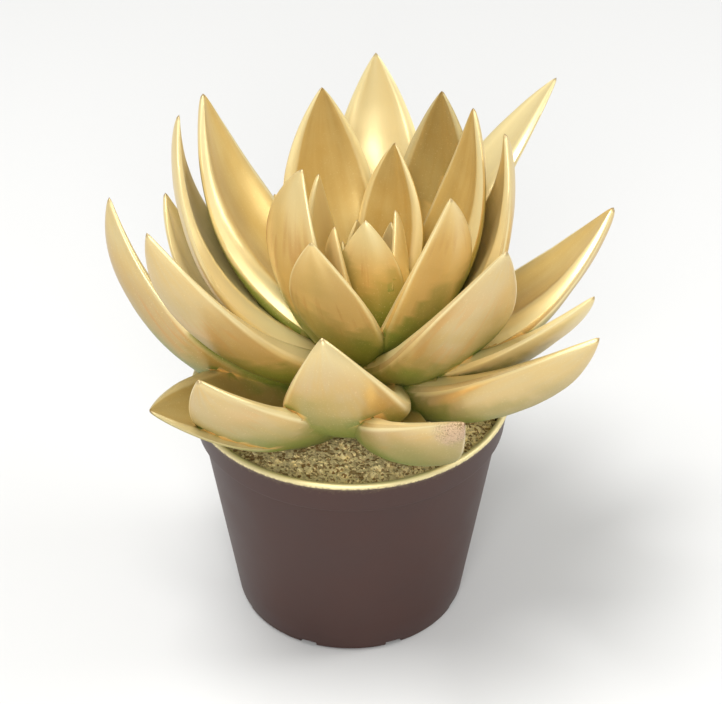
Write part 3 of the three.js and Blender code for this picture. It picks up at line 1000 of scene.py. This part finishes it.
# The rosette: every blade is joined to the stem, from the oldest up to the heart.
gold = gold_leaf()
grow_blade = blade_tree()
plant = turned(stem_profile(0), STEM_SEGMENTS, "stem", (STEM_X, STEM_Y))
for number in range(OLDEST, YOUNGEST - 1, -1):
    if number in FALLEN_LEAVES:
        continue
    blade = grown_by(
        grow_blade,
        leaf_point(number),
        "blade",
        rows_along=ROWS_ALONG,
        points_round=POINTS_ROUND,
        ripple=RIPPLE * MM,
        ripple_size=RIPPLE_SIZE * MM,
        stem_foot=(STEM_X * MM, STEM_Y * MM, 0),
        skin=gold,
    )
    plant = joined(plant, blade, "UNION")
plant = grown_by(
    spray_tree(), plant, "gold_rosette", crease_angle=math.radians(SHARP_EDGE), skin=gold
)
GOLD_LEAF_FACTS = ("position", "share", "across", "face", "reach", "leaf", "coat_and_light")
for name in [a.name for a in plant.attributes if a.domain == "POINT"]:
    if name not in GOLD_LEAF_FACTS and not name.startswith("."):
        plant.attributes.remove(plant.attributes[name])
rosette = placed(plant, "gold_rosette")
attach(rosette, "root")
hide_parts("rosette")

# The pot.
shell = turned(pot_profile(), POT_SEGMENTS, "nursery_pot")
pot = placed(joined(shell, drainage_cutters(), "DIFFERENCE"), "nursery_pot")
pot.data.materials.clear()
pot.data.materials.append(pot_plastic())
pot.data.shade_smooth()
pot.data.set_sharp_from_angle(angle=math.radians(POT_SHARP_EDGE))
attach(pot, "root")
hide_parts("pot")

# The soil.
plug = turned(soil_profile(), SOIL_SEGMENTS, "soil_plug")
hole = turned(stem_profile(SEAT_GAP), STEM_SEGMENTS, "stem_hole", (STEM_X, STEM_Y))
soil_mesh = grown_by(
    rough_soil_tree(),
    joined(plug, hole, "DIFFERENCE"),
    "soil_crumbs",
    roughness=SOIL_ROUGHNESS * MM,
    mound=SOIL_MOUND * MM,
    top=(POT_HEIGHT - SOIL_BELOW_RIM) * MM,
    crumb_density=CRUMB_DENSITY / MM**2,
    smallest=CRUMB_SMALLEST * MM,
    largest=CRUMB_LARGEST * MM,
    seed=SOIL_SEED,
    soil=peat_and_grit(),
)
soil = placed(soil_mesh, "potting_soil")
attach(soil, "root")
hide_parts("soil")

# A plain pale floor, soft light, and a camera at the photograph's angle, in metres.
FLOOR_REACH = 3
FLOOR_COLOUR = (0.68, 0.68, 0.67, 1)
LIGHT_TARGET = (0, 0, 0.1)
LIGHTS = {
    "top_light": dict(place=(-0.3, -0.1, 1.3), size=0.6, power=14),
    "front_light": dict(place=(-0.05, -1.1, 0.8), size=0.6, power=8.5),
    "side_light": dict(place=(1.1, 0.1, 0.8), size=0.5, power=5),
}
SKY_COLOUR = (1, 1, 1, 1)
SKY_STRENGTH = 0.44
CAMERA_PLACE = (0, -0.676, 0.572)
CAMERA_TARGET = (0.003, 0.004, 0.079)
CAMERA_LENS = 150
CAMERA_SENSOR = 36

floor_mesh = bpy.data.meshes.new("floor")
corners = [(x * FLOOR_REACH, y * FLOOR_REACH, 0) for x, y in ((-1, -1), (1, -1), (1, 1), (-1, 1))]
floor_mesh.from_pydata(corners, [], [(0, 1, 2, 3)])
paper, paper_tree, paper_skin = finish_tree("paper", Roughness=0.9)
paper_skin.inputs["Base Color"].default_value = FLOOR_COLOUR
floor_mesh.materials.append(paper)
floor = placed(floor_mesh, "floor")


def aimed(data, name, place, target):
    """A light or a camera in the scene, turned towards a target."""
    made = placed(data, name)
    made.location = place
    aim = Vector(target) - Vector(place)
    made.rotation_euler = aim.to_track_quat("-Z", "Y").to_euler()
    return made


for name, light in LIGHTS.items():
    lamp = bpy.data.lights.new(name, "AREA")
    lamp.shape = "DISK"
    lamp.size = light["size"]
    lamp.energy = light["power"]
    aimed(lamp, name, light["place"], LIGHT_TARGET)

world = bpy.data.worlds.new("studio")
bpy.context.scene.world = world
world.use_nodes = True
sky = world.node_tree.nodes["Background"]
sky.inputs["Color"].default_value = SKY_COLOUR
sky.inputs["Strength"].default_value = SKY_STRENGTH

eye = bpy.data.cameras.new("camera")
eye.lens = CAMERA_LENS
eye.sensor_width = CAMERA_SENSOR
bpy.context.scene.camera = aimed(eye, "camera", CAMERA_PLACE, CAMERA_TARGET)
bpy.context.scene.view_settings.view_transform = "Standard"
